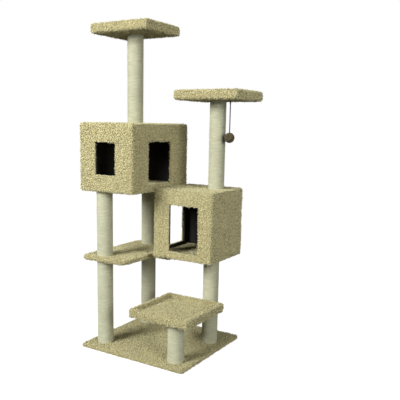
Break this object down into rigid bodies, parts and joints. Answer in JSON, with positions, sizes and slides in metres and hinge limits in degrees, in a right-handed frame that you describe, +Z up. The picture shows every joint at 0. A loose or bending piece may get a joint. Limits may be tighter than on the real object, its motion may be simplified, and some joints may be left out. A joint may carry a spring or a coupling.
{
  "type": "cat tree",
  "caption": "Free-standing cat tree: carpeted base, rope-wound posts, carpeted condos with doors, a shelf, a raised-rim bed and perches, and a ball hanging on a cord.",
  "frame": {"origin": "centre of the underside of the base board, on the floor", "axes": "+Z up, +X to the right along the front edge, -Y towards the front"},
  "size_m": [0.863, 0.66, 1.859],
  "materials": {
    "carpet": "cut-pile frieze carpet, mottled beige and tan",
    "sisal_rope": "pale twisted sisal rope, wound close",
    "paper_tube": "spiral-wound paper tube",
    "plug_wood": "turned softwood plug",
    "board": "unfinished particle board",
    "dark_board": "board with a dark unlit inner face",
    "zinc_steel": "zinc-plated steel",
    "ball_jute": "brown wound twine ball",
    "toy_cord": "dark grey braided cord"
  },
  "bodies": {
    "frame": {"base_board": "board", "base_carpet": "carpet", "bed_board": "board", "bed_carpet": "carpet", "bed_post_rope": "sisal_rope", "bed_post_tube": "paper_tube", "bed_rim_rails": "board", "bed_screws": "zinc_steel", "condo_screws": "zinc_steel", "front_left_lower_post_rope": "sisal_rope", "front_left_lower_post_tube": "paper_tube", "front_left_upper_post_rope": "sisal_rope", "front_left_upper_post_tube": "paper_tube", "left_perch_board": "board", "left_perch_carpet": "carpet", "left_perch_post_rope": "sisal_rope", "left_perch_post_tube": "paper_tube", "left_perch_rim_rails": "board", "lower_condo_back_wall": "dark_board", "lower_condo_floor": "dark_board", "lower_condo_floor_carpet": "carpet", "lower_condo_front_wall": "dark_board", "lower_condo_left_wall": "dark_board", "lower_condo_right_wall": "dark_board", "lower_condo_roof": "dark_board", "lower_condo_roof_carpet": "carpet", "lower_condo_underside_carpet": "carpet", "lower_condo_wall_carpet": "carpet", "post_bolts": "zinc_steel", "post_end_plugs": "plug_wood", "post_studs": "zinc_steel", "post_tee_nuts": "zinc_steel", "rear_left_lower_post_rope": "sisal_rope", "rear_left_lower_post_tube": "paper_tube", "rear_left_upper_post_rope": "sisal_rope", "rear_left_upper_post_tube": "paper_tube", "rear_right_post_rope": "sisal_rope", "rear_right_post_tube": "paper_tube", "right_perch_board": "board", "right_perch_carpet": "carpet", "right_perch_post_rope": "sisal_rope", "right_perch_post_tube": "paper_tube", "right_perch_rim_rails": "board", "shelf_board": "board", "shelf_carpet": "carpet", "tongue_screws": "zinc_steel", "toy_staple": "zinc_steel", "upper_condo_back_wall": "dark_board", "upper_condo_floor": "dark_board", "upper_condo_floor_carpet": "carpet", "upper_condo_front_wall": "dark_board", "upper_condo_left_wall": "dark_board", "upper_condo_right_wall": "dark_board", "upper_condo_roof": "dark_board", "upper_condo_roof_carpet": "carpet", "upper_condo_underside_carpet": "carpet", "upper_condo_wall_carpet": "carpet"},
    "toy_knot": {"toy_knot": "toy_cord"},
    "toy_cord": {"toy_cord": "toy_cord"},
    "toy_ball": {"toy_ball": "ball_jute"}
  },
  "joints": [
    {"name": "toy_swing_out", "type": "hinge", "parent": "frame", "child": "toy_knot", "pos_m": [0.365, 0.108, 1.438], "axis": [-0.2321, -0.9727, 0], "range_deg": [-3, 60]},
    {"name": "toy_swing_side", "type": "hinge", "parent": "toy_knot", "child": "toy_cord", "pos_m": [0.365, 0.108, 1.429], "axis": [0.9727, -0.2321, 0], "range_deg": [-60, 60]},
    {"name": "ball_twist", "type": "hinge", "parent": "toy_cord", "child": "toy_ball", "pos_m": [0.365, 0.108, 1.2405], "axis": [0, 0, 1], "range_deg": [-180, 180]}
  ]
}
